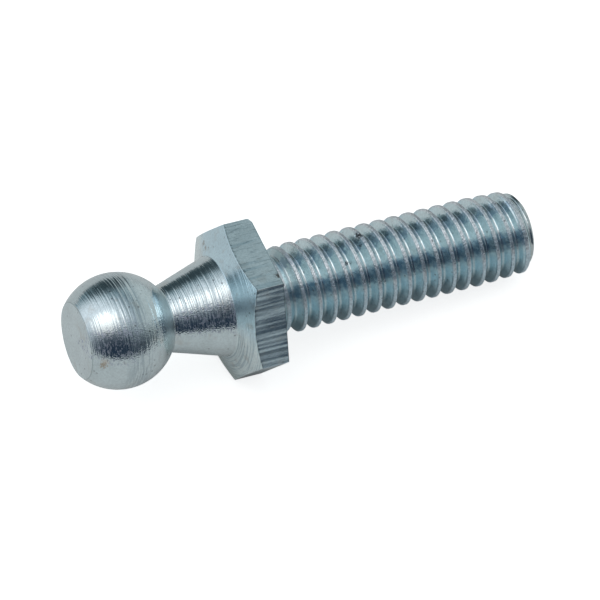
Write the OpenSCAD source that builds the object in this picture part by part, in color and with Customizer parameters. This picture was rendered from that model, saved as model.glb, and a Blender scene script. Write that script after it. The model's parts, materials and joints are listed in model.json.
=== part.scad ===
// Ball stud: a ball on a tapered neck, a hexagon and a threaded shank, formed as one piece of steel.
// The stud is drawn upright along Z with the ball's centre at zero, and then laid down as it comes to rest.

/* [Ball] */
// Diameter of the ball
ball_d = 10; // [8:0.1:13]
// Diameter of the flat on the ball's end
end_flat_d = 6.6; // [4:0.1:7.4]

/* [Neck] */
// Diameter of the neck where it leaves the ball
neck_top_d = 5.7; // [4.6:0.1:6.6]
// Diameter of the neck where it meets the hexagon
neck_base_d = 8.8; // [7:0.1:10]

/* [Hexagon] */
// Width of the hexagon across its flats
hex_flats = 12.7; // [12:0.1:16]
// Height of the hexagon at its corners
hex_h = 2.5; // [1.5:0.1:5]
// Slope of the turned front face, in degrees
face_slope = 23; // [5:1:35]
// Distance from the ball's centre to the seat on the hexagon's back
seat_z = 12.9; // [12.2:0.1:18]
// Height of the nick in one back corner
nick_h = 0.35; // [0.1:0.05:1]
// Depth of the nick in one back corner
nick_d = 0.25; // [0.1:0.05:0.8]

/* [Shank] */
// Length of the shank from the seat to its end
shank_l = 25.1; // [15:0.1:50]
// Diameter of the relief between the seat and the thread
relief_d = 6.6; // [6:0.1:7]
// Length of the relief
relief_l = 0.8; // [0.7:0.1:3]
// Radius of the fillet where the relief meets the seat
seat_fillet = 0.6; // [0.2:0.05:0.65]

/* [Thread] */
// Diameter over the thread's crests
thread_d = 7.7; // [7.4:0.05:8.5]
// Diameter at the thread's root
root_d = 6.1; // [5.8:0.05:6.5]
// Pitch of the right-hand thread
pitch = 1.411; // [1.1:0.001:2]
// Width of a crest along the shank
crest_w = 0.25; // [0.1:0.05:0.4]
// Angle between two flanks, in degrees
flank_angle = 60; // [30:1:60]
// Length over which the thread fades out towards the relief
runout_l = 2; // [0.5:0.1:5]
// Diameter of the shank's end face
tip_d = 5.8; // [4:0.1:6]
// Length of the chamfer at the shank's end
chamfer_l = 0.6; // [0.3:0.1:2]
// Crest diameter where the end chamfer starts
lead_d = 7.3; // [6.6:0.1:7.4]
// Length over which the crests narrow towards the end chamfer
lead_l = 4; // [0.5:0.1:6]

/* [Hidden] */
$fn = 96;
zinc = [0.67, 0.72, 0.75];

// Sides of a turn of the thread, and how far one solid reaches into the next
thread_sides = 32;
bite = 0.3;
// How deep the thread's first ring lies under the relief
start_sink = 0.05;
// Turns the thread about the shank, as a part of one turn
thread_turn = 1.055;
// Direction of the nicked corner, counted from the side the stud lies on
nick_turn = 150;

// Ball, neck and hexagon
ball_r = ball_d / 2;
flat_z = sqrt(ball_r ^ 2 - (end_flat_d / 2) ^ 2);
neck_z = sqrt(ball_r ^ 2 - (neck_top_d / 2) ^ 2);
corner_r = hex_flats / 2 / cos(30);
corner_z = seat_z - hex_h;
face_rise = tan(face_slope);
base_z = corner_z - (corner_r - neck_base_d / 2) * face_rise;
neck_taper = (neck_base_d - neck_top_d) / 2 / (base_z - neck_z);

// Shank and thread
end_z = seat_z + shank_l;
relief_z = seat_z + relief_l;
start_z = relief_z - bite;
start_r = relief_d / 2 - start_sink;
chamfer_z = end_z - chamfer_l;
lead_z = chamfer_z - lead_l;
flank_w = (thread_d - root_d) / 2 * tan(flank_angle / 2);
// Places along one pitch, from the middle of a crest, where the thread's outline bends
bends = [-crest_w / 2 - flank_w, -crest_w / 2, crest_w / 2, crest_w / 2 + flank_w];
bend_r = [root_d / 2, thread_d / 2, thread_d / 2, root_d / 2];
turns = ceil((end_z - start_z) / pitch) + 3;
rings = turns * len(bends);
crest_z = start_z + (thread_turn - 2) * pitch;

// The stud lies on the hexagon's back edge and on the first crest to touch as it tips over
crest_edges = [for (k = [0:turns - 1], way = [-1, 1]) crest_z + k * pitch + way * crest_w / 2];
touching = [for (z = crest_edges) if (z > relief_z && z < end_z) z];
lie_angle = min([for (z = touching) atan2(hex_flats / 2 - envelope(z), z - seat_z)]);
lie_h = seat_z * sin(lie_angle) + hex_flats / 2 * cos(lie_angle);
low_x = -flat_z * cos(lie_angle) - end_flat_d / 2 * sin(lie_angle);
high_x = end_z * cos(lie_angle) + tip_d / 2 * sin(lie_angle);

// Share of the thread's full form at height z, which rises from none over the run-out
function form(z) = min(1, max(0, (z - relief_z) / runout_l));

// Largest radius at height z: full crests, then the narrowing lead and the end chamfer
function envelope(z) =
    z < lead_z ? thread_d / 2
    : z < chamfer_z ? (thread_d + (lead_d - thread_d) * (z - lead_z) / lead_l) / 2
    : (lead_d + (tip_d - lead_d) * (z - chamfer_z) / chamfer_l) / 2;

// Height of a point of the thread: ring m follows one bend of the outline round the shank
function ring_z(m, i) =
    crest_z + pitch * (floor(m / len(bends)) + i / thread_sides) + bends[m % len(bends)];

// Radius of a point of the thread on ring m at height z
function ring_r(m, z) =
    min(envelope(z), start_r + (bend_r[m % len(bends)] - start_r) * form(z));

function round_point(r, i, z) =
    let (turn = 360 * i / thread_sides)
    [r * cos(turn), r * sin(turn), z];

// Number of a point: rings below the start or past the end close up on a flat ring there
function point_no(m, i) =
    i == thread_sides ? point_no(m + len(bends), 0)
    : m >= rings || ring_z(m, i) >= end_z ? (rings + 1) * thread_sides + i
    : ring_z(m, i) <= start_z ? rings * thread_sides + i
    : m * thread_sides + i;

module ball() {
    difference() {
        sphere(ball_r);
        translate([0, 0, -ball_d - flat_z])
            linear_extrude(ball_d) square(2 * ball_d, center = true);
    }
}

// The cone runs on into the ball at one end and into the hexagon at the other
module neck() {
    translate([0, 0, neck_z - bite])
        cylinder(
            h = base_z - neck_z + 2 * bite,
            r1 = neck_top_d / 2 - bite * neck_taper,
            r2 = neck_base_d / 2 + bite * neck_taper
        );
}

// A hexagonal prism whose front is turned to a shallow cone, so each flat ends in a curve
module hexagon() {
    foot_z = base_z - bite / 2;
    difference() {
        intersection() {
            translate([0, 0, foot_z])
                rotate(30) cylinder(h = seat_z - foot_z, r = corner_r, $fn = 6);
            translate([0, 0, foot_z])
                cylinder(
                    h = seat_z - foot_z,
                    r1 = corner_r - (corner_z - foot_z) / face_rise,
                    r2 = corner_r + hex_h / face_rise
                );
        }
        rotate(nick_turn)
            translate([corner_r, 0, seat_z - nick_h])
                rotate([0, -atan2(nick_d, nick_h), 0])
                    translate([0, -hex_h, -hex_h]) cube(2 * hex_h);
    }
}

// Plain neck between the seat and the thread, with its fillet against the seat
module relief() {
    translate([0, 0, seat_z - bite])
        cylinder(h = relief_l + bite, d = relief_d);
    translate([0, 0, seat_z])
        rotate_extrude()
            translate([relief_d / 2, 0])
                difference() {
                    translate([-bite, -bite]) square(seat_fillet + bite);
                    translate([seat_fillet, seat_fillet]) circle(seat_fillet);
                }
}

// Right-hand helical thread with a run-out at the relief and a narrowed, chamfered end
module thread() {
    points = [
        for (m = [0:rings - 1], i = [0:thread_sides - 1])
            let (z = ring_z(m, i))
            round_point(ring_r(m, z), i, z),
        for (i = [0:thread_sides - 1]) round_point(start_r, i, start_z),
        for (i = [0:thread_sides - 1]) round_point(tip_d / 2, i, end_z)
    ];
    sides = [
        for (m = [0:rings - 2], i = [0:thread_sides - 1])
            let (
                a = point_no(m, i),
                b = point_no(m + 1, i),
                c = point_no(m + 1, i + 1),
                d = point_no(m, i + 1)
            )
            for (face = [[a, b, c], [a, c, d]])
                if (face[0] != face[1] && face[1] != face[2] && face[2] != face[0]) face
    ];
    start = [for (i = [0:thread_sides - 1]) rings * thread_sides + i];
    end = [for (i = [thread_sides - 1:-1:0]) (rings + 1) * thread_sides + i];
    polyhedron(points, concat(sides, [start, end]));
}

// Turns the upright stud onto the surface, ball to the left, with the origin under its middle
module laid_down() {
    translate([-(low_x + high_x) / 2, 0, lie_h])
        rotate([0, 90 + lie_angle, 0]) children();
}

module ball_stud() {
    color(zinc)
        laid_down()
            union() {
                ball();
                neck();
                hexagon();
                relief();
                thread();
            }
}

ball_stud();
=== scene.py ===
import json
import math
import bpy
import bmesh
from mathutils import Matrix, Vector, noise


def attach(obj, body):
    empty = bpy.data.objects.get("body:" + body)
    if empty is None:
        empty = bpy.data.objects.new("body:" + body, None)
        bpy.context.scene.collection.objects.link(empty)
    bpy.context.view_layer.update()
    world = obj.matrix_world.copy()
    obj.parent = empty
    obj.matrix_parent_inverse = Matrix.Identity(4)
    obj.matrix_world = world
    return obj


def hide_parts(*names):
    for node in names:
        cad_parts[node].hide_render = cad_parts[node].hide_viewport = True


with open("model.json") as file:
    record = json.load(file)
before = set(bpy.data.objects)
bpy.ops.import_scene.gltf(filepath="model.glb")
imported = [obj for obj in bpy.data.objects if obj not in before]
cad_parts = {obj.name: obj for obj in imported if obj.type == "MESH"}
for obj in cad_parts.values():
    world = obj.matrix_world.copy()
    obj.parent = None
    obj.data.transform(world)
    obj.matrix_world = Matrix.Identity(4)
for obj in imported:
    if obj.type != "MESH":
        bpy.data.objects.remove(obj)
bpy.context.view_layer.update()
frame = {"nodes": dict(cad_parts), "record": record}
scene = bpy.context.scene
print("frame loaded with", len(frame["nodes"]), "node")

# the stud's own frame, in millimetres: Z is its axis, zero the ball's centre, X the side it lies on
millimetre = 0.001
mounts = {mount["name"]: mount for mount in frame["record"]["mounts"]}
ballPlace = Vector(mounts["ball"]["pos_m"])
studAxis = Vector(mounts["thread"]["axis"])
layTurn = math.atan2(studAxis.x, studAxis.z)  # from upright to lying, about Y
layDown = Matrix.Translation(ballPlace) @ Matrix.Rotation(layTurn, 4, "Y") @ Matrix.Scale(millimetre, 4)

# camera of the photograph, in metres and degrees
cameraView = {
    "place": (-0.145277, -0.279865, 0.448418),
    "azimuth": -27.448,
    "elevation": 54.667,
    "roll": 5.285,
    "lens": 381.03,
    "sensor": 36.0,
    "clip": (0.01, 20.0),
}


def makeCamera(view):
    data = bpy.data.cameras.new("photoCamera")
    data.lens = view["lens"]
    data.sensor_width = view["sensor"]
    data.clip_start, data.clip_end = view["clip"]
    camera = bpy.data.objects.new("photoCamera", data)
    turn = Matrix.Rotation(math.radians(view["azimuth"]), 4, "Z")
    tip = Matrix.Rotation(math.radians(90 - view["elevation"]), 4, "X")
    roll = Matrix.Rotation(math.radians(view["roll"]), 4, "Z")
    camera.matrix_world = Matrix.Translation(view["place"]) @ turn @ tip @ roll
    scene.collection.objects.link(camera)
    scene.camera = camera


makeCamera(cameraView)
print("camera made")

# head of the stud, in millimetres and degrees
head = {
    "ballRadius": 5.0,
    "endFlatRadius": 3.3,
    "endFlatEdge": 0.06,
    "neckTopRadius": 2.85,
    "neckBaseRadius": 4.4,
    "neckTopFillet": 0.16,
    "neckBaseFillet": 0.1,
    "hexFlats": 12.7,
    "hexHeight": 2.5,
    "faceSlope": 23.0,
    "faceOverrun": 0.4,  # the face is drawn this far past the corners, and then cut to the flats
    "seatZ": 12.9,
    "edgeRound": 0.025,
    "backRound": 0.03,
    "nickHeight": 0.35,
    "nickDepth": 0.25,
    "nickTurn": 150,
    "grooveDepths": (0.024, 0.024, 0.024, 0.004, 0.024, 0.024),  # one for each flat
    "grooveMean": 0.5,
    "grooveLayers": (
        {"perMm": 2.1, "flatStep": 7.3, "seed": 0.4, "share": 0.7},
        {"perMm": 4.6, "flatStep": 3.9, "seed": 2.7, "share": 0.5},
    ),
    "trimmedDepth": 0.05,  # faces this near a flat take its finish
    "trimmedTilt": 0.3,  # unless they face this much along the axis
    "creaseAngle": 12,
    "steps": 480,
    "endRows": 3,
    "endEdgeSteps": 5,
    "ballSteps": 36,
    "neckTopSteps": 8,
    "neckRows": 4,
    "neckBaseSteps": 6,
    "sideRows": 3,
    "backSteps": 2,
}
hexSides = 6

# in millimetres: points nearer than touch are one, and points nearer than weld may be joined
touch = 0.0005
weld = 0.002


def everything(bm):
    return bm.verts[:] + bm.edges[:] + bm.faces[:]


def vertsOf(items):
    return [item for item in items if isinstance(item, bmesh.types.BMVert)]


def rimOf(bm):
    return [edge for edge in bm.edges if edge.is_boundary]


def lineOn(bm, vert, radius, z, lengths=1):
    # draws a profile on from its last vertex in equal lengths
    start = vert.co.copy()
    for i in range(lengths):
        vert = bmesh.ops.extrude_vert_indiv(bm, verts=[vert])["verts"][0]
        vert.co = start.lerp(Vector((radius, 0, z)), (i + 1) / lengths)
    return vert


def arcOn(bm, vert, centre, degrees, steps):
    # turns the last vertex of a profile about a centre
    made = bmesh.ops.spin(
        bm, geom=[vert], cent=(centre.x, 0, centre.y), axis=(0, 1, 0),
        angle=math.radians(degrees), steps=steps, use_merge=False,
    )
    return vertsOf(made["geom_last"])[0]


def ringOn(bm, loop, grow, z):
    # draws a loop of edges on to a height, wider or narrower than it was
    made = vertsOf(bmesh.ops.extrude_edge_only(bm, edges=loop)["geom"])
    bmesh.ops.scale(bm, verts=made, vec=(grow, grow, 1))
    bmesh.ops.translate(bm, verts=made, vec=(0, 0, z - made[0].co.z))


def cutOff(bm, place, way):
    # removes what lies past a plane
    bmesh.ops.bisect_plane(
        bm, geom=everything(bm), dist=touch, plane_co=place, plane_no=way, clear_outer=True,
    )


def crossing(normalA, reachA, normalB, reachB):
    # point (radius, z) where two lines of a profile meet
    area = normalA.x * normalB.y - normalA.y * normalB.x
    radius = (reachA * normalB.y - reachB * normalA.y) / area
    z = (normalA.x * reachB - normalB.x * reachA) / area
    return Vector((radius, z))


def turnBetween(centre, start, end):
    # signed turn about Y from one point of a profile to another
    a = start - centre
    b = end - centre
    turn = math.degrees(math.atan2(a.y, a.x) - math.atan2(b.y, b.x))
    return (turn + 180) % 360 - 180


def onStud(along, radius, angle):
    # place at an angle round the stud's axis, counted from the side it lies on
    turn = math.radians(angle)
    return Vector((radius * math.cos(turn), radius * math.sin(turn), along))


def flatWay(k):
    # way that one flat of the hexagon faces
    return onStud(0, 1, 360 * k / hexSides)


def cornerReach(size):
    # from the axis to a corner of the hexagon
    return size["hexFlats"] / 2 / math.cos(math.pi / hexSides)


def headPlaces(size):
    # heights where the surfaces of the head meet, and where the cone of its face meets the axis
    ballRadius = size["ballRadius"]
    slope = math.tan(math.radians(size["faceSlope"]))
    corner = size["seatZ"] - size["hexHeight"]
    apex = corner - cornerReach(size) * slope
    return {
        "endFlat": -math.sqrt(ballRadius ** 2 - size["endFlatRadius"] ** 2),
        "neckTop": math.sqrt(ballRadius ** 2 - size["neckTopRadius"] ** 2),
        "neckBase": apex + size["neckBaseRadius"] * slope,
        "corner": corner,
        "apex": apex,
    }


def drawHeadProfile(bm, size):
    places = headPlaces(size)
    ballRadius = size["ballRadius"]
    slope = math.radians(size["faceSlope"])
    faceNormal = Vector((math.sin(slope), -math.cos(slope)))
    faceReach = faceNormal.dot(Vector((0, places["apex"])))
    neckTop = Vector((size["neckTopRadius"], places["neckTop"]))
    neckBase = Vector((size["neckBaseRadius"], places["neckBase"]))
    neckWay = (neckBase - neckTop).normalized()
    neckNormal = Vector((neckWay.y, -neckWay.x))
    neckReach = neckNormal.dot(neckBase)

    # end flat with a soft edge against the ball
    edge = size["endFlatEdge"]
    flatZ = places["endFlat"]
    inner = ballRadius - edge
    edgeCentre = Vector((math.sqrt(inner ** 2 - (flatZ + edge) ** 2), flatZ + edge))
    ballStart = edgeCentre * (ballRadius / inner)
    vert = bm.verts.new((0, 0, flatZ))
    vert = lineOn(bm, vert, edgeCentre.x, flatZ, size["endRows"])
    flatEnd = Vector((edgeCentre.x, flatZ))
    vert = arcOn(bm, vert, edgeCentre, turnBetween(edgeCentre, flatEnd, ballStart), size["endEdgeSteps"])

    # ball, then the fillet between it and the neck
    fillet = size["neckTopFillet"]
    reach = neckReach + fillet
    along = math.sqrt((ballRadius + fillet) ** 2 - reach ** 2)
    filletCentre = neckNormal * reach + neckWay * along
    ballEnd = filletCentre * (ballRadius / (ballRadius + fillet))
    neckStart = filletCentre - neckNormal * fillet
    zero = Vector((0, 0))
    vert = arcOn(bm, vert, zero, turnBetween(zero, ballStart, ballEnd), size["ballSteps"])
    filletTurn = turnBetween(filletCentre, ballEnd, neckStart)
    vert = arcOn(bm, vert, filletCentre, filletTurn, size["neckTopSteps"])

    # neck, the fillet at its foot, and the sloping face run out past the corners
    fillet = size["neckBaseFillet"]
    footCentre = crossing(neckNormal, neckReach + fillet, faceNormal, faceReach + fillet)
    neckEnd = footCentre - neckNormal * fillet
    faceStart = footCentre - faceNormal * fillet
    vert = lineOn(bm, vert, neckEnd.x, neckEnd.y, size["neckRows"])
    vert = arcOn(bm, vert, footCentre, turnBetween(footCentre, neckEnd, faceStart), size["neckBaseSteps"])
    rimRadius = cornerReach(size) + size["faceOverrun"]
    lineOn(bm, vert, rimRadius, places["apex"] + rimRadius * math.tan(slope))


def grooveAt(across, flat, size):
    # depth of the trimming marks, which run along the axis
    share = size["grooveMean"]
    for layer in size["grooveLayers"]:
        spot = Vector((across * layer["perMm"], flat * layer["flatStep"], layer["seed"]))
        share += layer["share"] * noise.noise(spot)
    return size["grooveDepths"][flat] * max(0, share)


def makeHead(size):
    bm = bmesh.new()
    drawHeadProfile(bm, size)
    bmesh.ops.spin(
        bm, geom=everything(bm), cent=(0, 0, 0), axis=(0, 0, 1),
        angle=math.tau, steps=size["steps"], use_merge=True,
    )
    bmesh.ops.remove_doubles(bm, verts=bm.verts[:], dist=weld)
    halfFlats = size["hexFlats"] / 2
    for k in range(hexSides):
        cutOff(bm, flatWay(k) * halfFlats, flatWay(k))

    # flats of the hexagon, drawn out of the face's rim
    rim = rimOf(bm)
    backZ = size["seatZ"] - size["backRound"]
    side = vertsOf(bmesh.ops.extrude_edge_only(bm, edges=rim)["geom"])
    bmesh.ops.scale(bm, verts=side, vec=(1, 1, 0), space=Matrix.Translation((0, 0, -backZ)))
    uprights = [edge for vert in side for edge in vert.link_edges if not edge.is_boundary]
    corners = [edge for edge in uprights if edge.verts[0].co.xy.length > cornerReach(size) - weld]
    bmesh.ops.bevel(
        bm, geom=rim + corners, offset=size["edgeRound"], offset_type="OFFSET", segments=2,
        profile=0.5, affect="EDGES", material=-1, clamp_overlap=True,
    )

    # rows along the flats, whose upright edges are longer than those of the rounds
    leastHeight = size["hexHeight"] / 5
    uprights = [
        edge for edge in bm.edges
        if (edge.verts[0].co - edge.verts[1].co).xy.length < touch and edge.calc_length() > leastHeight
    ]
    bmesh.ops.subdivide_edges(bm, edges=uprights, cuts=size["sideRows"], use_grid_fill=True)

    # rounded back edge
    reach = halfFlats
    for i in range(size["backSteps"]):
        turn = math.radians(90 * (i + 1) / size["backSteps"])
        wanted = halfFlats - size["backRound"] * (1 - math.cos(turn))
        ringOn(bm, rimOf(bm), wanted / reach, backZ + size["backRound"] * math.sin(turn))
        reach = wanted

    # trimming marks sunk into the flats
    for vert in bm.verts:
        for k in range(hexSides):
            out = flatWay(k)
            if vert.co.dot(out) > halfFlats - weld:
                across = vert.co.dot(Vector((-out.y, out.x, 0)))
                vert.co -= out * grooveAt(across, k, size)
                break
    return bm


# shank and thread, in millimetres and degrees: the crests lie a hair inside the CAD model's
shank = {
    "reliefRadius": 3.3,
    "seatFillet": 0.6,
    "reliefLength": 0.8,
    "length": 25.1,
    "crestRadius": 3.847,
    "rootRadius": 3.05,
    "pitch": 1.411,
    "crestWidth": 0.25,
    "flankAngle": 60.0,
    "crestRound": 0.06,
    "seamDepth": 0.012,
    "seamHalfWidth": 0.04,
    "firstCrest": 12.0666,
    "runout": 2.0,
    "leadRadius": 3.648,
    "leadLength": 4.0,
    "tipRadius": 2.9,
    "chamferLength": 0.6,
    "steps": 96,
    "rootSteps": 6,
    "flankRows": 2,
    "crestSteps": 4,
    "filletSteps": 10,
    "dent": {"along": 22.49, "angle": 161, "size": 0.32, "depth": 0.16},
}


def drawThreadProfile(bm, size):
    # half of one thread, from the middle of its root to the middle of its crest
    half = math.radians(size["flankAngle"] / 2)
    bend = math.pi / 2 - half  # from the root or crest to the flank
    depth = size["crestRadius"] - size["rootRadius"]
    flankWidth = depth * math.tan(half)
    rootHalf = size["pitch"] / 2 - size["crestWidth"] / 2 - flankWidth
    rootRound = rootHalf / math.tan(bend / 2)
    centre = Vector((size["rootRadius"] + rootRound, -size["pitch"] / 2))
    vert = bm.verts.new((size["rootRadius"], 0, centre.y))
    vert = arcOn(bm, vert, centre, math.degrees(bend), size["rootSteps"])

    # flank up to a rounded crest corner, and a seam along the middle of the crest
    corner = Vector((size["crestRadius"], -size["crestWidth"] / 2))
    flankWay = Vector((math.cos(half), math.sin(half)))
    setBack = size["crestRound"] * math.tan(bend / 2)
    start = corner - flankWay * setBack
    vert = lineOn(bm, vert, start.x, start.y, size["flankRows"])
    centre = Vector((size["crestRadius"] - size["crestRound"], corner.y + setBack))
    vert = arcOn(bm, vert, centre, -math.degrees(bend), size["crestSteps"])
    vert = lineOn(bm, vert, size["crestRadius"], -size["seamHalfWidth"])
    lineOn(bm, vert, size["crestRadius"] - size["seamDepth"], 0)
    bmesh.ops.mirror(bm, geom=everything(bm), matrix=Matrix.Identity(4), merge_dist=touch, axis="Z")


def makeShank(size, seatZ):
    bm = bmesh.new()
    drawThreadProfile(bm, size)
    bmesh.ops.translate(bm, verts=bm.verts[:], vec=(0, 0, size["firstCrest"]))
    endZ = seatZ + size["length"]
    reliefZ = seatZ + size["reliefLength"]
    chamferZ = endZ - size["chamferLength"]
    leadZ = chamferZ - size["leadLength"]
    turns = math.ceil((endZ - size["firstCrest"]) / size["pitch"]) + 1
    bmesh.ops.spin(
        bm, geom=everything(bm), cent=(0, 0, 0), axis=(0, 0, 1),
        dvec=(0, 0, size["pitch"] / size["steps"]), angle=math.tau, steps=size["steps"], use_merge=False,
    )
    firstTurn = everything(bm)
    for k in range(1, turns):
        copied = vertsOf(bmesh.ops.duplicate(bm, geom=firstTurn)["geom"])
        bmesh.ops.translate(bm, verts=copied, vec=(0, 0, k * size["pitch"]))
    bmesh.ops.remove_doubles(bm, verts=bm.verts[:], dist=weld)

    # thread fades out at the relief, and narrows to a chamfered tip
    for vert in bm.verts:
        z = vert.co.z
        radius = vert.co.xy.length
        form = min(1, max(0, (z - reliefZ) / size["runout"]))
        wanted = size["reliefRadius"] + (radius - size["reliefRadius"]) * form
        if z > chamferZ:
            fall = (z - chamferZ) / size["chamferLength"]
            wanted = min(wanted, size["leadRadius"] + (size["tipRadius"] - size["leadRadius"]) * fall)
        elif z > leadZ:
            fall = (z - leadZ) / size["leadLength"]
            wanted = min(wanted, size["crestRadius"] + (size["leadRadius"] - size["crestRadius"]) * fall)
        vert.co.xy *= wanted / radius

    # dent knocked into one crest
    dent = size["dent"]
    middle = onStud(dent["along"], size["crestRadius"], dent["angle"])
    for vert in bm.verts:
        near = 1 - (vert.co - middle).length / dent["size"]
        if near > 0:
            vert.co.xy *= 1 - dent["depth"] * math.sqrt(near) / vert.co.xy.length
    cutOff(bm, (0, 0, reliefZ), (0, 0, -1))
    cutOff(bm, (0, 0, endZ), (0, 0, 1))

    # relief and the fillet against the seat
    fillet = size["seatFillet"]
    radius = size["reliefRadius"]
    for i in range(size["filletSteps"] + 1):
        turn = math.radians(90 * i / size["filletSteps"])
        wanted = size["reliefRadius"] + fillet * (1 - math.cos(turn))
        loop = [edge for edge in rimOf(bm) if edge.verts[0].co.z < leadZ]
        ringOn(bm, loop, wanted / radius, seatZ + fillet * (1 - math.sin(turn)))
        radius = wanted

    # end face
    loop = [edge for edge in rimOf(bm) if edge.verts[0].co.z > leadZ]
    bmesh.ops.holes_fill(bm, edges=loop, sides=0)
    return bm


def addPart(bm, part):
    mesh = bpy.data.meshes.new("part")
    part.to_mesh(mesh)
    part.free()
    bm.from_mesh(mesh)
    bpy.data.meshes.remove(mesh)


def cutNick(bm, size):
    # flattens one back corner of the hexagon onto a sloping plane
    tilt = math.atan2(size["nickDepth"], size["nickHeight"])
    out = onStud(0, 1, size["nickTurn"])
    way = out * math.cos(tilt) + Vector((0, 0, math.sin(tilt)))
    place = onStud(size["seatZ"] - size["nickHeight"], cornerReach(size), size["nickTurn"])

    def past(vert):
        return vert.co.z < size["seatZ"] + touch and (vert.co - place).dot(way) > touch

    corner = [face for face in bm.faces if any(past(vert) for vert in face.verts)]
    geom = set(corner)
    for face in corner:
        geom.update(face.edges)
        geom.update(face.verts)
    bmesh.ops.bisect_plane(bm, geom=list(geom), dist=touch, plane_co=place, plane_no=way)
    for vert in bm.verts:
        if past(vert):
            vert.co -= way * (vert.co - place).dot(way)


# the piece's material slots, in the order that the finishes are added
slots = {"turned": 0, "trimmed": 1, "rolled": 2}


def makeStud():
    bm = makeHead(head)
    print("head made,", len(bm.faces), "faces")
    addPart(bm, makeShank(shank, head["seatZ"]))
    bmesh.ops.bridge_loops(bm, edges=rimOf(bm))
    cutNick(bm, head)
    bmesh.ops.recalc_face_normals(bm, faces=bm.faces[:])
    loose = [edge for edge in bm.edges if not edge.is_manifold]
    print("stud joined,", len(bm.faces), "faces,", len(loose), "open edges")

    # three finishes: turned head, trimmed flats, rolled shank with the seat
    leastReach = head["hexFlats"] / 2 - head["trimmedDepth"]
    for face in bm.faces:
        face.smooth = True
        face.material_index = slots["turned"]
        centre = face.calc_center_median()
        reach = max(centre.dot(flatWay(k)) for k in range(hexSides))
        if centre.z > head["seatZ"] - touch:
            face.material_index = slots["rolled"]
        elif reach > leastReach and abs(face.normal.z) < head["trimmedTilt"]:
            face.material_index = slots["trimmed"]
    for edge in bm.edges:
        if edge.is_manifold:
            edge.smooth = edge.calc_face_angle(0) < math.radians(head["creaseAngle"])
    bmesh.ops.transform(bm, matrix=layDown, verts=bm.verts[:])
    mesh = bpy.data.meshes.new("ballStud")
    bm.to_mesh(mesh)
    bm.free()
    piece = bpy.data.objects.new("ballStud", mesh)
    scene.collection.objects.link(piece)
    return piece


studPiece = makeStud()


def put(tree, value, socket):
    # links a socket, or sets a plain value
    if isinstance(value, bpy.types.NodeSocket):
        tree.links.new(value, socket)
    else:
        socket.default_value = value


def sums(tree, operation, a, b=0.0):
    # one step of arithmetic on values
    node = tree.nodes.new("ShaderNodeMath")
    node.operation = operation
    put(tree, a, node.inputs[0])
    put(tree, b, node.inputs[1])
    return node.outputs[0]


def plus(tree, total, *values):
    for value in values:
        total = sums(tree, "ADD", total, value)
    return total


def minus(tree, a, b):
    return sums(tree, "SUBTRACT", a, b)


def times(tree, product, *values):
    for value in values:
        product = sums(tree, "MULTIPLY", product, value)
    return product


def ease(tree, value, low, high, lowResult=0.0, highResult=1.0):
    # soft step from one result to the other
    node = tree.nodes.new("ShaderNodeMapRange")
    node.interpolation_type = "SMOOTHSTEP"
    put(tree, value, node.inputs["Value"])
    node.inputs["From Min"].default_value = low
    node.inputs["From Max"].default_value = high
    node.inputs["To Min"].default_value = lowResult
    node.inputs["To Max"].default_value = highResult
    return node.outputs["Result"]


def between(tree, mask, outside, inside):
    # one value outside a mask and another inside it
    return ease(tree, mask, 0.0, 1.0, outside, inside)


def after(place, distances):
    # places at some distances past a place
    return [place + distance for distance in distances]


def zone(tree, value, riseFrom, riseTo, fallFrom, fallTo):
    # mask of one after a rise and before a fall
    return times(tree, ease(tree, value, riseFrom, riseTo), ease(tree, value, fallFrom, fallTo, 1.0, 0.0))


def mixed(tree, factor, a, b, kind="RGBA", blend="MIX"):
    node = tree.nodes.new("ShaderNodeMix")
    node.data_type = kind
    node.blend_type = blend
    put(tree, factor, node.inputs["Factor"])
    put(tree, a, node.inputs["A"])
    put(tree, b, node.inputs["B"])
    return node.outputs["Result"]


def tinted(tree, factor, colour, tint):
    # multiplies a colour by a tint where the factor is one
    return mixed(tree, factor, colour, tint, blend="MULTIPLY")


def cloud(tree, vector, scale, detail=2.0):
    node = tree.nodes.new("ShaderNodeTexNoise")
    put(tree, vector, node.inputs["Vector"])
    node.inputs["Scale"].default_value = scale
    node.inputs["Detail"].default_value = detail
    return node.outputs["Fac"]


def vectorSums(tree, operation, a, b):
    # one step of arithmetic on vectors
    node = tree.nodes.new("ShaderNodeVectorMath")
    node.operation = operation
    put(tree, a, node.inputs[0])
    put(tree, b, node.inputs[1])
    return node.outputs


def stretched(tree, vector, scale):
    return vectorSums(tree, "MULTIPLY", vector, scale)["Vector"]


def dotted(tree, vector, way):
    return vectorSums(tree, "DOT_PRODUCT", vector, way)["Value"]


def newGroup(name, takes, gives):
    tree = bpy.data.node_groups.new(name, "ShaderNodeTree")
    for way, sockets in (("INPUT", takes), ("OUTPUT", gives)):
        for socketName, kind in sockets.items():
            tree.interface.new_socket(name=socketName, in_out=way, socket_type="NodeSocket" + kind)
    return tree, tree.nodes.new("NodeGroupInput").outputs, tree.nodes.new("NodeGroupOutput").inputs


def placeGroup(tree, group, **values):
    node = tree.nodes.new("ShaderNodeGroup")
    node.node_tree = group
    for name, value in values.items():
        put(tree, value, node.inputs[name])
    return node.outputs


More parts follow.
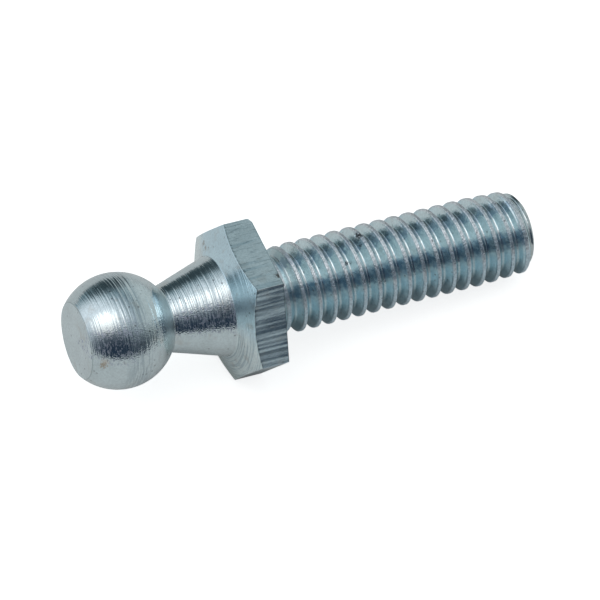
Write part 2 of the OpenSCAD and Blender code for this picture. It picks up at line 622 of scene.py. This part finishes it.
def makeStudSpace():
    # place on the stud in its own frame, in millimetres
    gives = {"Spot": "Vector", "Down": "Float", "Back": "Float", "Along": "Float", "Radius": "Float"}
    tree, _, out = newGroup("studSpace", {}, gives)
    coords = tree.nodes.new("ShaderNodeTexCoord")
    turn = tree.nodes.new("ShaderNodeMapping")
    turn.vector_type = "TEXTURE"
    turn.inputs["Location"].default_value = ballPlace
    turn.inputs["Rotation"].default_value = (0, layTurn, 0)
    turn.inputs["Scale"].default_value = (millimetre, millimetre, millimetre)
    put(tree, coords.outputs["Object"], turn.inputs["Vector"])
    parts = tree.nodes.new("ShaderNodeSeparateXYZ")
    put(tree, turn.outputs[0], parts.inputs[0])
    down, back, along = parts.outputs
    square = plus(tree, times(tree, down, down), times(tree, back, back))
    put(tree, turn.outputs[0], out["Spot"])
    put(tree, down, out["Down"])
    put(tree, back, out["Back"])
    put(tree, along, out["Along"])
    put(tree, sums(tree, "SQRT", square), out["Radius"])
    return tree


# ridges left by a tool: a grain, and layers of noise for wide, fine and broad ridges
ridges = {
    "grainScale": 8.0,
    "layers": (
        {"scale": 1.0, "detail": 0.0, "share": 1.0},
        {"scale": 2.1, "detail": 1.0, "share": 0.25},
        {"scale": 0.42, "detail": 0.0, "share": 0.8},
    ),
}


def makeToolMarks(look):
    # the ridges are drawn out along the slow ways of the vector
    takes = {"Vector": "Vector", "Spot": "Vector", "Grain": "Float"}
    tree, given, out = newGroup("toolMarks", takes, {"Height": "Float"})
    height = times(tree, cloud(tree, given["Spot"], look["grainScale"], detail=0.0), given["Grain"])
    for layer in look["layers"]:
        rise = cloud(tree, given["Vector"], layer["scale"], layer["detail"])
        height = plus(tree, height, times(tree, rise, layer["share"]))
    put(tree, height, out["Height"])
    return tree


# zinc plating: scales of noise for a millimetre, and levels of noise where an effect starts and ends
plating = {
    "hazeScale": 0.55,
    "mottleScale": 5.0,
    "levels": (0.3, 0.7),
    "hazeShade": (0.95, 1.04),
    "mottleShade": (0.93, 1.05),
    "roughness": (0.09, 0.16),
    "stainScale": 0.9,
    "stainLevels": (0.56, 0.72),
    "stainColour": (0.50, 0.47, 0.42, 1),
    "speckScale": 1.7,
    "speckEdge": (0.09, 0.2),
    "speckPick": (0.50, 0.80),  # a cell of the pattern that picks less has no speck
    "speckStrength": 0.65,
    "speckColour": (0.16, 0.17, 0.18, 1),
}


def makeZincTint(look):
    # cloudy plating with pin-head specks and faint stains
    takes = {"Colour": "Color", "Spot": "Vector", "Stain": "Float"}
    tree, given, out = newGroup("zincTint", takes, {"Colour": "Color", "Roughness": "Float"})
    spot = given["Spot"]
    haze = cloud(tree, spot, look["hazeScale"], detail=4.0)
    mottle = ease(tree, cloud(tree, spot, look["mottleScale"]), *look["levels"], *look["mottleShade"])
    shade = tree.nodes.new("ShaderNodeVectorMath")
    shade.operation = "SCALE"
    put(tree, given["Colour"], shade.inputs[0])
    hazeShade = ease(tree, haze, *look["levels"], *look["hazeShade"])
    put(tree, times(tree, mottle, hazeShade), shade.inputs["Scale"])
    stain = ease(tree, cloud(tree, spot, look["stainScale"], detail=3.0), *look["stainLevels"])
    stain = times(tree, stain, given["Stain"])
    colour = mixed(tree, stain, shade.outputs[0], look["stainColour"])
    cells = tree.nodes.new("ShaderNodeTexVoronoi")
    put(tree, spot, cells.inputs["Vector"])
    cells.inputs["Scale"].default_value = look["speckScale"]
    pick = tree.nodes.new("ShaderNodeSeparateColor")
    put(tree, cells.outputs["Color"], pick.inputs[0])
    speck = ease(tree, cells.outputs["Distance"], *look["speckEdge"], 1.0, 0.0)
    speck = times(tree, speck, ease(tree, pick.outputs[0], *look["speckPick"], 0.0, look["speckStrength"]))
    put(tree, mixed(tree, speck, colour, look["speckColour"]), out["Colour"])
    put(tree, ease(tree, haze, *look["levels"], *look["roughness"]), out["Roughness"])
    return tree


# outline of a spot, in parts of its size
raggedness = {"scale": 9.0, "depth": 2.0, "edge": (1.2, 1.7)}


def makeBlemish(look):
    # ragged spot about a centre
    takes = {"Spot": "Vector", "Centre": "Vector", "Size": "Float"}
    tree, given, out = newGroup("blemish", takes, {"Mask": "Float"})
    apart = vectorSums(tree, "DISTANCE", given["Spot"], given["Centre"])["Value"]
    near = sums(tree, "DIVIDE", apart, given["Size"])
    ragged = times(tree, cloud(tree, given["Spot"], look["scale"]), look["depth"])
    put(tree, ease(tree, plus(tree, near, ragged), *look["edge"], 1.0, 0.0), out["Mask"])
    return tree


studSpace = makeStudSpace()
toolMarks = makeToolMarks(ridges)
zincTint = makeZincTint(plating)
blemish = makeBlemish(raggedness)


def startZinc(name):
    material = bpy.data.materials.new(name)
    material.use_nodes = True
    tree = material.node_tree
    shader = tree.nodes["Principled BSDF"]
    shader.inputs["Metallic"].default_value = 1
    return material, tree, shader, placeGroup(tree, studSpace)


def towards(tree, space, angle):
    # one at an angle round the axis, and less to both sides of it
    return sums(tree, "DIVIDE", dotted(tree, space["Spot"], onStud(0, 1, angle)), space["Radius"])


def roundAxis(tree, space, across, acrossScale, roundScale):
    # vector for a pattern that is fine across and drawn out round the axis
    node = tree.nodes.new("ShaderNodeCombineXYZ")
    ways = ((across, acrossScale), (space["Down"], roundScale), (space["Back"], roundScale))
    for (way, scale), socket in zip(ways, node.inputs):
        put(tree, times(tree, way, scale), socket)
    return node.outputs[0]


def bumped(tree, shader, height, depth):
    # depth in millimetres of a height of one
    bump = tree.nodes.new("ShaderNodeBump")
    bump.inputs["Strength"].default_value = 1
    bump.inputs["Distance"].default_value = depth * millimetre
    put(tree, height, bump.inputs["Height"])
    put(tree, bump.outputs[0], shader.inputs["Normal"])


def plated(tree, shader, space, colour, finish):
    # gives the shader a zinc colour with the finish's marks, and returns the zinc's roughness
    tint = placeGroup(tree, zincTint, Colour=colour, Spot=space["Spot"], Stain=finish["stain"])
    colour = tint["Colour"]
    for mark in finish["marks"]:
        centre = onStud(mark["along"], mark["radius"], mark["angle"])
        spot = placeGroup(tree, blemish, Spot=space["Spot"], Centre=centre, Size=mark["size"])
        colour = mixed(tree, spot["Mask"], colour, mark["colour"])
    put(tree, colour, shader.inputs["Base Color"])
    return tint["Roughness"]


# ball, neck and sloping face: rings left by the turning tool
# in millimetres, zones lie along the axis or down from it, and froms and tos follow a surface's start
# levels are those of a noise, and reaches are cosines of a turn round the axis
turnedFinish = {
    "colour": (0.67, 0.76, 0.78, 1),
    "endColour": (0.73, 0.82, 0.84, 1),
    "faceColour": (0.70, 0.88, 0.96, 1),
    "lowFaceLitColour": (0.86, 0.97, 0.98, 1),
    "endTo": (0.0063, 0.1063),
    "edgeTo": (0.0023, 0.0213, 0.0463, 0.0963),
    "edgeTint": (0.68, 0.71, 0.71, 1),
    "neckFrom": (-0.108, 0.092),
    "faceFrom": (-0.055, 0.045),
    "lowerFaceLitZone": (-3.0, -1.0),
    "underFaceShadeZone": (2.5, 6.0),
    "lowShadeTint": (0.72, 0.76, 0.74, 1),
    "ringLean": 0.9,  # keeps rings apart where the surface runs square to the axis
    "ringsPerMm": 6.6,
    "ringsRound": 0.3,
    "depth": 0.034,
    "growZone": (-3.0, 1.5),
    "growRings": (0.65, 1.5),
    "endRings": 0.18,
    "neckRings": 0.77,
    "besideZone": (2.3, 3.3),
    "besideRings": 0.3,
    "besideRoughness": 0.2,
    "faceRings": 0.25,
    "lowFaceRings": 0.7,
    "lowFaceAngle": -76,
    "lowFaceReach": (0.55, 0.92),
    "faceRoughness": 0.1,
    "lineScale": 0.9,
    "lineLevels": (0.46, 0.58),
    "lineStrength": 0.8,
    "ringColour": (0.54, 0.67, 0.72, 1),
    "streakScale": 1.8,
    "streakLevels": (0.44, 0.58),
    "streakZone": (-1.6, -0.2, 0.5, 1.6),
    "streakTint": (0.70, 0.73, 0.76, 1),
    "grain": 0.10,
    "pittedAngle": -131,
    "pittedReach": (0.88, 0.98),
    "pittedGrain": 0.35,
    "pitsPerMm": 5.5,
    "pitsRound": 3.0,
    "pitLevels": (0.53, 0.64),
    "pitColour": (0.54, 0.59, 0.68, 1),
    "pitRoughness": 0.31,
    "ringedZone": (-1.2, 1.2),
    "ringedCover": 0.8,
    "stain": 0.3,
    "marks": (
        {"along": 9.60, "radius": 5.44, "angle": 119, "size": 0.5, "colour": (0.40, 0.42, 0.42, 1)},
        {"along": 9.43, "radius": 5.05, "angle": 126, "size": 0.4, "colour": (0.40, 0.42, 0.42, 1)},
        {"along": -2.9, "radius": 4.07, "angle": -112, "size": 0.6, "colour": (0.62, 0.60, 0.55, 1)},
        {"along": -3.0, "radius": 4.0, "angle": -107, "size": 0.5, "colour": (0.46, 0.41, 0.34, 1)},
    ),
}


def makeTurnedZinc(finish):
    material, tree, shader, space = startZinc("turnedZinc")
    along = space["Along"]
    across = plus(tree, along, times(tree, space["Radius"], finish["ringLean"]))

    # what lies past the end flat, the neck, the ball beside it, the face, its low side, the pitted side
    places = headPlaces(head)
    past = ease(tree, along, *after(places["endFlat"], finish["endTo"]))
    neck = ease(tree, along, *after(places["neckTop"], finish["neckFrom"]))
    beside = minus(tree, ease(tree, along, *finish["besideZone"]), neck)
    face = ease(tree, along, *after(places["neckBase"], finish["faceFrom"]))
    low = ease(tree, towards(tree, space, finish["lowFaceAngle"]), *finish["lowFaceReach"])
    facing = ease(tree, towards(tree, space, finish["pittedAngle"]), *finish["pittedReach"])

    # rings deepen towards the neck, and are fainter on the end flat, beside the neck and on the face
    vector = roundAxis(tree, space, across, finish["ringsPerMm"], finish["ringsRound"])
    grain = between(tree, facing, finish["grain"], finish["pittedGrain"])
    marks = placeGroup(tree, toolMarks, Vector=vector, Spot=space["Spot"], Grain=grain)
    rings = times(
        tree,
        ease(tree, along, *finish["growZone"], *finish["growRings"]),
        between(tree, beside, 1.0, finish["besideRings"]),
        between(tree, past, finish["endRings"], 1.0),
        between(tree, neck, 1.0, finish["neckRings"]),
    )
    faceRings = between(tree, low, finish["faceRings"], finish["lowFaceRings"])
    rings = mixed(tree, face, rings, faceRings, "FLOAT")
    bumped(tree, shader, times(tree, marks["Height"], rings), finish["depth"])

    # pits drawn out along the rings, mostly covered where the rings are deep on the ball
    pitVector = roundAxis(tree, space, across, finish["pitsPerMm"], finish["pitsRound"])
    pits = ease(tree, cloud(tree, pitVector, 1.0, detail=1.0), *finish["pitLevels"])
    ringed = ease(tree, along, *finish["ringedZone"])
    ringed = times(tree, ringed, between(tree, neck, finish["ringedCover"], 0.0))
    covered = sums(tree, "MAXIMUM", face, ringed)
    pits = times(tree, pits, facing, minus(tree, 1.0, covered))

    # end flat with its dark edge, and streaks round the ball
    colour = mixed(tree, past, finish["endColour"], finish["colour"])
    edge = zone(tree, along, *after(places["endFlat"], finish["edgeTo"]))
    colour = tinted(tree, edge, colour, finish["edgeTint"])
    streaks = ease(tree, cloud(tree, vector, finish["streakScale"]), *finish["streakLevels"])
    streaks = times(tree, streaks, zone(tree, along, *finish["streakZone"]))
    colour = tinted(tree, streaks, colour, finish["streakTint"])

    # face, painted lighter on its lower half, with lines on its low side and painted shade on its underside
    # painted light: the face's lower half is coloured lighter, to offset the floor shadow that it mirrors
    litLowerFace = ease(tree, space["Down"], *finish["lowerFaceLitZone"])
    faceColour = mixed(tree, litLowerFace, finish["faceColour"], finish["lowFaceLitColour"])
    lines = cloud(tree, vector, finish["lineScale"])
    lines = ease(tree, lines, *finish["lineLevels"], 0.0, finish["lineStrength"])
    faceColour = mixed(tree, times(tree, lines, low), faceColour, finish["ringColour"])
    # painted shade: the face's underside is darkened, as if it mirrored the floor's shadow
    shadedUnderside = ease(tree, space["Down"], *finish["underFaceShadeZone"])
    faceColour = tinted(tree, shadedUnderside, faceColour, finish["lowShadeTint"])
    colour = mixed(tree, face, colour, faceColour)
    colour = mixed(tree, pits, colour, finish["pitColour"])
    roughness = plus(
        tree,
        plated(tree, shader, space, colour, finish),
        times(tree, pits, finish["pitRoughness"]),
        times(tree, face, finish["faceRoughness"]),
        times(tree, beside, finish["besideRoughness"]),
    )
    put(tree, roughness, shader.inputs["Roughness"])
    return material


# flats of the hexagon: scores left by the trimming die
trimmedFinish = {
    "colour": (0.57, 0.70, 0.76, 1),
    "scoreColour": (0.30, 0.37, 0.40, 1),
    "scoresPerMm": 2.6,
    "scoresAlong": 0.12,
    "depth": 0.007,
    "grain": 0.4,
    "lineScale": 0.7,
    "lineWidth": 0.03,
    "lineStrength": 0.5,
    "stippleScale": 8.0,
    "stippleLevels": (0.32, 0.42),
    "stippleStrength": 0.45,
    "topTo": (0.1, 0.2),  # the flat that lies on top has fewer scores, most of all in front, and is painted lighter as if lit from above
    "topLitColour": (0.82, 0.91, 0.92, 1),
    "topScores": 0.3,
    "topScoresZone": (0.5, 3.4),
    "tickScale": (0, 6.0, 0.9),
    "tickLevels": (0.34, 0.46),
    "tickStrength": 0.4,
    "underShadeZone": (0.5, 3.5),
    "underShadeTint": (0.38, 0.43, 0.43, 1),
    "edgeTint": (0.55, 0.58, 0.58, 1),
    "frontTo": (0.02, 0.16),
    "frontRagged": 0.9,
    "frontScale": 3.0,
    "backFrom": (-0.12, -0.04),
    "roughness": 1.5,
    "stain": 0.25,
    "marks": (
        {"along": 12.78, "radius": 6.90, "angle": -157, "size": 0.5, "colour": (0.16, 0.14, 0.13, 1)},
    ),
}


def darkEdges(tree, space, finish):
    # mask of a ragged line along the front edge and a straight one along the back edge
    slope = math.tan(math.radians(head["faceSlope"]))
    front = minus(tree, space["Along"], times(tree, space["Radius"], slope))
    wander = minus(tree, cloud(tree, space["Spot"], finish["frontScale"], detail=3.0), 0.5)
    front = minus(tree, front, times(tree, wander, finish["frontRagged"]))
    frontLine = ease(tree, front, *after(headPlaces(head)["apex"], finish["frontTo"]), 1.0, 0.0)
    backLine = ease(tree, space["Along"], *after(head["seatZ"], finish["backFrom"]))
    return sums(tree, "MAXIMUM", frontLine, backLine)


def makeTrimmedZinc(finish):
    material, tree, shader, space = startZinc("trimmedZinc")
    spot = space["Spot"]
    perMm = finish["scoresPerMm"]
    scores = stretched(tree, spot, (perMm, perMm, finish["scoresAlong"]))
    marks = placeGroup(tree, toolMarks, Vector=scores, Spot=spot, Grain=finish["grain"])
    top = ease(tree, space["Down"], *after(-head["hexFlats"] / 2, finish["topTo"]), 1.0, 0.0)
    topScores = ease(tree, space["Back"], *finish["topScoresZone"], finish["topScores"], 1.0)
    scored = mixed(tree, top, 1.0, topScores, "FLOAT")
    bumped(tree, shader, times(tree, marks["Height"], scored), finish["depth"])

    # thin dark lines where a slow noise crosses its middle, and a stipple
    line = sums(tree, "ABSOLUTE", minus(tree, cloud(tree, scores, finish["lineScale"], detail=1.0), 0.5))
    line = ease(tree, line, 0.0, finish["lineWidth"], finish["lineStrength"], 0.0)
    stipple = cloud(tree, spot, finish["stippleScale"])
    stipple = ease(tree, stipple, *finish["stippleLevels"], finish["stippleStrength"], 0.0)
    dark = times(tree, sums(tree, "MAXIMUM", line, stipple), scored)

    # the top flat has short fine scores instead
    ticks = cloud(tree, stretched(tree, spot, finish["tickScale"]), 1.0)
    ticks = ease(tree, ticks, *finish["tickLevels"], finish["tickStrength"], 0.0)
    dark = plus(tree, dark, times(tree, ticks, top))
    # painted light: the top flat is coloured lighter, where it faces the light
    colour = mixed(tree, top, finish["colour"], finish["topLitColour"])
    colour = mixed(tree, dark, colour, finish["scoreColour"])
    # painted shade: flats on the underside are darkened, as if they mirrored the floor's shadow
    shadedUnderside = ease(tree, space["Down"], *finish["underShadeZone"])
    colour = tinted(tree, shadedUnderside, colour, finish["underShadeTint"])
    colour = tinted(tree, darkEdges(tree, space, finish), colour, finish["edgeTint"])
    roughness = times(tree, plated(tree, shader, space, colour, finish), finish["roughness"])
    put(tree, roughness, shader.inputs["Roughness"])
    return material


# seat and thread: blue passivated flanks, worn crests, bright roots
rolledFinish = {
    "threadFrom": (0.85, 1.4),  # past the seat
    "threadTo": (-0.6, -0.3),  # before the end
    "flankColour": (0.75, 0.88, 0.91, 1),
    "rootColour": (0.68, 0.76, 0.77, 1),
    "rootReach": (0.39, 0.43),  # in pitches from the middle of a crest
    "crestReach": (0.11, 0.17),
    "crestColour": (0.84, 0.88, 0.91, 1),
    "crestWear": (0.64, 0.69, 0.72, 1),
    "wearScale": 5.5,
    "wearLevels": (0.42, 0.62),
    "wearRough": 16.0,
    "reliefColour": (0.60, 0.66, 0.66, 1),
    "reliefTo": (0.5, 4.1),
    "reliefRoughness": 0.22,
    # painted shade: two ragged dark bands where the flanks mirror the dark sides of the studio
    "shadeBands": (  # levels are cosines of a turn round the axis, with the ragged noise added
        {"angle": -136, "levels": (1.0, 1.05), "tint": (0.30, 0.41, 0.52, 1)},
        {"angle": 172, "levels": (1.02, 1.04), "tint": (0.58, 0.64, 0.72, 1)},
    ),
    "bandScale": 2.2,
    "bandRagged": 0.08,
    "crestBandShade": 0.6,
    "tipFlankReach": (0.02, 0.14),
    "tipFlankBandShade": 0.35,
    "lowShadeZone": (-2.2, -1.0),
    "lowShadeTint": (0.78, 0.89, 0.94, 1),
    "underShadeZone": (-0.6, 0.9),
    "underShadeTint": (0.42, 0.47, 0.49, 1),
    "roughness": 1.7,
    "rootRoughness": -0.06,
    "dullZone": (-2.8, -1.8),
    "dullRoughness": 0.16,
    "streaksPerMm": 9.0,
    "streaksRound": 0.5,
    "depth": 0.004,
    "grain": 1.5,
    "wave": 8.0,
    "waveScale": 1.8,
    "stain": 0.15,
    "marks": (
        {"along": 22.45, "radius": 3.80, "angle": 162, "size": 0.8, "colour": (0.05, 0.06, 0.07, 1)},
        {"along": 22.14, "radius": 3.47, "angle": 177.5, "size": 0.4, "colour": (0.10, 0.11, 0.12, 1)},
        {"along": 20.51, "radius": 3.10, "angle": -161.8, "size": 0.35, "colour": (0.12, 0.12, 0.13, 1)},
    ),
}


def pastCrest(tree, space):
    # distance from the nearest crest in pitches, more than zero on the side towards the tip
    turned = sums(tree, "DIVIDE", sums(tree, "ARCTAN2", space["Back"], space["Down"]), math.tau)
    climbed = sums(tree, "DIVIDE", minus(tree, space["Along"], shank["firstCrest"]), shank["pitch"])
    phase = sums(tree, "FRACT", plus(tree, minus(tree, climbed, turned), 0.5))
    return minus(tree, phase, 0.5)


def makeRolledZinc(finish):
    material, tree, shader, space = startZinc("rolledZinc")
    spot = space["Spot"]
    down = space["Down"]
    along = space["Along"]
    seatZ = head["seatZ"]
    endZ = seatZ + shank["length"]
    past = pastCrest(tree, space)
    apart = sums(tree, "ABSOLUTE", past)
    threaded = zone(tree, along, *after(seatZ, finish["threadFrom"]), *after(endZ, finish["threadTo"]))
    crest = times(tree, ease(tree, apart, *finish["crestReach"], 1.0, 0.0), threaded)
    root = times(tree, ease(tree, apart, *finish["rootReach"]), threaded)

    # streaks, a slow wave and rough crests
    vector = roundAxis(tree, space, space["Radius"], finish["streaksPerMm"], finish["streaksRound"])
    marks = placeGroup(tree, toolMarks, Vector=vector, Spot=spot, Grain=finish["grain"])
    speckle = cloud(tree, spot, finish["wearScale"], detail=3.0)
    rough = times(tree, speckle, crest, finish["wearRough"])
    wave = times(tree, cloud(tree, spot, finish["waveScale"], detail=1.0), finish["wave"])
    bumped(tree, shader, plus(tree, marks["Height"], rough, wave), finish["depth"])

    # flanks are painted darker underneath as shade, and crests are worn
    colour = mixed(tree, root, finish["flankColour"], finish["rootColour"])
    shadedUnderside = times(tree, ease(tree, down, *finish["underShadeZone"]), threaded)
    colour = tinted(tree, shadedUnderside, colour, finish["underShadeTint"])
    wear = ease(tree, speckle, *finish["wearLevels"])
    colour = mixed(tree, crest, colour, mixed(tree, wear, finish["crestColour"], finish["crestWear"]))

    # ragged bands of painted dark reflection along the shank, weaker on the crests and on the flanks towards
    # the tip
    ragged = times(tree, cloud(tree, spot, finish["bandScale"], detail=3.0), finish["bandRagged"])
    bandShaded = times(tree, threaded, between(tree, crest, 1.0, finish["crestBandShade"]))
    tipFlank = ease(tree, past, *finish["tipFlankReach"], 1.0, finish["tipFlankBandShade"])
    bandShaded = times(tree, bandShaded, tipFlank)
    for band in finish["shadeBands"]:
        near = plus(tree, towards(tree, space, band["angle"]), ragged)
        colour = tinted(tree, times(tree, ease(tree, near, *band["levels"]), bandShaded), colour, band["tint"])
    # painted shade: the lower flanks are tinted darker and bluer
    low = times(tree, ease(tree, down, *finish["lowShadeZone"]), threaded)
    colour = tinted(tree, low, colour, finish["lowShadeTint"])
    colour = mixed(tree, threaded, finish["reliefColour"], colour)
    dull = times(tree, ease(tree, down, *finish["dullZone"]), threaded)
    roughness = plus(
        tree,
        times(tree, plated(tree, shader, space, colour, finish), finish["roughness"]),
        times(tree, root, finish["rootRoughness"]),
        times(tree, dull, finish["dullRoughness"]),
        ease(tree, along, *after(seatZ, finish["reliefTo"]), finish["reliefRoughness"], 0.0),
    )
    put(tree, roughness, shader.inputs["Roughness"])
    return material


studPiece.data.materials.append(makeTurnedZinc(turnedFinish))
studPiece.data.materials.append(makeTrimmedZinc(trimmedFinish))
studPiece.data.materials.append(makeRolledZinc(rolledFinish))
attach(studPiece, "root")
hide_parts("ball_stud")
print("finishes made")

# pale floor and soft studio light, in metres and degrees
# a patch of light or shade lies over those before it, and its reach says how far from its middle
# it starts and is full: azimuth 0 is in front and 90 at the tip's side
studio = {
    "floorRadius": 3.0,
    "floorSides": 64,
    "floorColour": (0.7, 0.7, 0.68, 1),
    "farColour": (0.40, 0.41, 0.41, 1),  # softens the horizon that the metal mirrors
    "farZone": (0.06, 0.3),
    "floorGlow": 0.1,
    "floorLift": 0.7,  # keeps the floor white for the camera
    "backdrop": (1, 1, 1, 1),
    "wall": (0.52, 0.57, 0.58, 1),
    "patches": {
        "upperShade": {"azimuth": -101, "elevation": 46, "reach": (91, 60), "colour": (0.19, 0.27, 0.31, 1)},
        "windowGlow": {"azimuth": -64, "elevation": 32, "reach": (92, 54), "colour": (0.86, 0.91, 0.97, 1)},
        "window": {"azimuth": -73, "elevation": 59, "reach": (30, 1), "colour": (2.4, 2.3, 2.25, 1)},
        "rightShade": {"azimuth": 42, "elevation": 2, "reach": (40, 1), "colour": (0.18, 0.21, 0.22, 1)},
        "frontDark": {"azimuth": -24, "elevation": 7, "reach": (88, 1), "colour": (0.02, 0.035, 0.06, 1)},
        "backDark": {"azimuth": 177, "elevation": 18, "reach": (31, 1), "colour": (0.04, 0.06, 0.07, 1)},
    },
}


def makeFloor(size):
    bm = bmesh.new()
    bmesh.ops.create_circle(bm, cap_ends=True, segments=size["floorSides"], radius=size["floorRadius"])
    mesh = bpy.data.meshes.new("floor")
    bm.to_mesh(mesh)
    bm.free()
    floor = bpy.data.objects.new("floor", mesh)
    scene.collection.objects.link(floor)
    material = bpy.data.materials.new("paleFloor")
    material.use_nodes = True
    tree = material.node_tree
    nodes = tree.nodes
    nodes.clear()
    coords = nodes.new("ShaderNodeTexCoord")
    apart = vectorSums(tree, "DISTANCE", coords.outputs["Object"], (0, 0, 0))["Value"]
    far = ease(tree, apart, *size["farZone"])
    diffuse = nodes.new("ShaderNodeBsdfDiffuse")
    put(tree, mixed(tree, far, size["floorColour"], size["farColour"]), diffuse.inputs["Color"])
    glow = nodes.new("ShaderNodeEmission")
    path = nodes.new("ShaderNodeLightPath")
    lift = times(tree, path.outputs["Is Camera Ray"], size["floorLift"])
    put(tree, plus(tree, lift, size["floorGlow"]), glow.inputs["Strength"])
    both = nodes.new("ShaderNodeAddShader")
    put(tree, diffuse.outputs[0], both.inputs[0])
    put(tree, glow.outputs[0], both.inputs[1])
    put(tree, both.outputs[0], nodes.new("ShaderNodeOutputMaterial").inputs["Surface"])
    floor.data.materials.append(material)


def makeWorld(size):
    world = bpy.data.worlds.new("studio")
    scene.world = world
    world.use_nodes = True
    tree = world.node_tree
    coords = tree.nodes.new("ShaderNodeTexCoord")
    seen = size["wall"]
    for patch in size["patches"].values():
        azimuth = math.radians(patch["azimuth"])
        elevation = math.radians(patch["elevation"])
        way = (
            math.sin(azimuth) * math.cos(elevation),
            -math.cos(azimuth) * math.cos(elevation),
            math.sin(elevation),
        )
        near = dotted(tree, coords.outputs["Generated"], way)
        soft = ease(tree, near, *(math.cos(math.radians(reach)) for reach in patch["reach"]))
        seen = mixed(tree, soft, seen, patch["colour"])
    path = tree.nodes.new("ShaderNodeLightPath")
    seen = mixed(tree, path.outputs["Is Camera Ray"], seen, size["backdrop"])
    put(tree, seen, tree.nodes["Background"].inputs["Color"])


makeFloor(studio)
makeWorld(studio)
scene.view_settings.view_transform = "Standard"
print("studio made")
